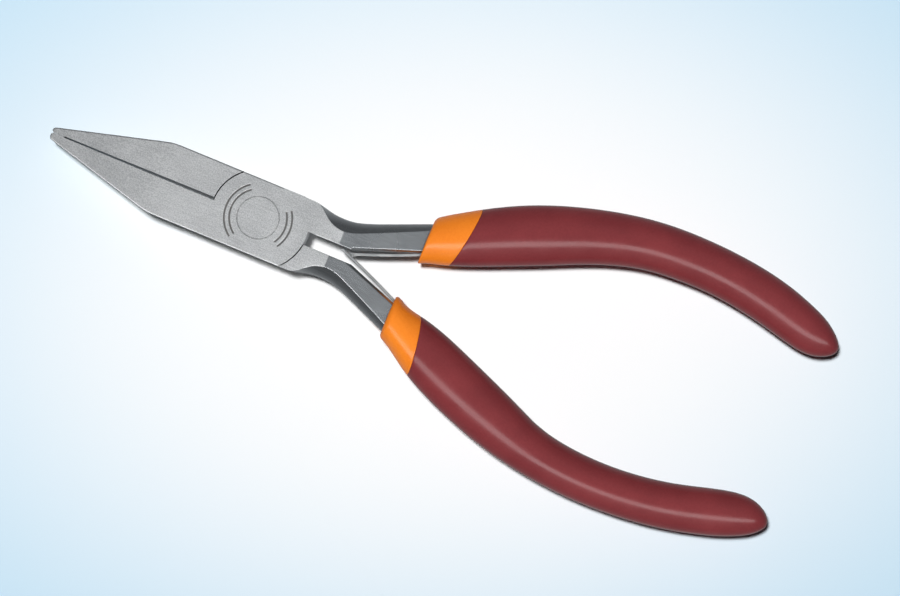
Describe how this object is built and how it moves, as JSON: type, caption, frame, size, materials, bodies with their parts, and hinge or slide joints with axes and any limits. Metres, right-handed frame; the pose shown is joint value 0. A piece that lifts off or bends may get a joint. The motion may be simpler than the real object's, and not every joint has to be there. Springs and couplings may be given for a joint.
{
  "type": "needle nose pliers",
  "caption": "Small spring-opened needle nose pliers with a riveted lap joint, leaf springs between the shanks and two-colour dipped plastic grips.",
  "frame": {"origin": "where the pivot rivet's axis meets the ground rear face of the joint, jaws closed", "axes": "+X along the tool's centre line from the jaws to the handles, +Y across to the front lever's handle, +Z along the rivet's axis from the rear face to the front face"},
  "size_m": [0.1303, 0.0472, 0.0086],
  "materials": {
    "lever_steel": "finely ground and polished forged steel",
    "rivet_steel": "ground flush steel",
    "spring_steel": "rolled spring steel strip",
    "grip_maroon": "soft satin moulded plastic, maroon",
    "grip_orange": "soft satin moulded plastic, orange"
  },
  "bodies": {
    "front_lever": {"front_lever": "lever_steel", "joint_rivet": "rivet_steel", "upper_grip_collar": "grip_orange", "upper_grip_sleeve": "grip_maroon", "upper_spring_foot": "spring_steel", "upper_spring_rivet": "rivet_steel"},
    "rear_lever": {"rear_lever": "lever_steel", "lower_grip_collar": "grip_orange", "lower_grip_sleeve": "grip_maroon", "lower_spring_foot": "spring_steel", "lower_spring_rivet": "rivet_steel"},
    "upper_blade": {"upper_spring_blade": "spring_steel"},
    "lower_blade": {"lower_spring_blade": "spring_steel"}
  },
  "joints": [
    {"name": "jaw_pivot", "type": "hinge", "parent": "front_lever", "child": "rear_lever", "pos_m": [0, 0, 0.0033], "axis": [0, 0, -1], "range_deg": [0, 18], "stiffness_Nm_per_rad": 0.6, "springref_deg": 22.92},
    {"name": "upper_leaf_flex", "type": "hinge", "parent": "front_lever", "child": "upper_blade", "pos_m": [0.02727, 0.00491, 0.0033], "axis": [0, 0, 1], "range_deg": [0, 14]},
    {"name": "lower_leaf_flex", "type": "hinge", "parent": "rear_lever", "child": "lower_blade", "pos_m": [0.02637, -0.00458, 0.0033], "axis": [0, 0, -1], "range_deg": [0, 14]}
  ],
  "couplings": [
    {"joint": "upper_leaf_flex", "follows": "jaw_pivot", "ratio": 0.75},
    {"joint": "lower_leaf_flex", "follows": "jaw_pivot", "ratio": 0.75}
  ]
}
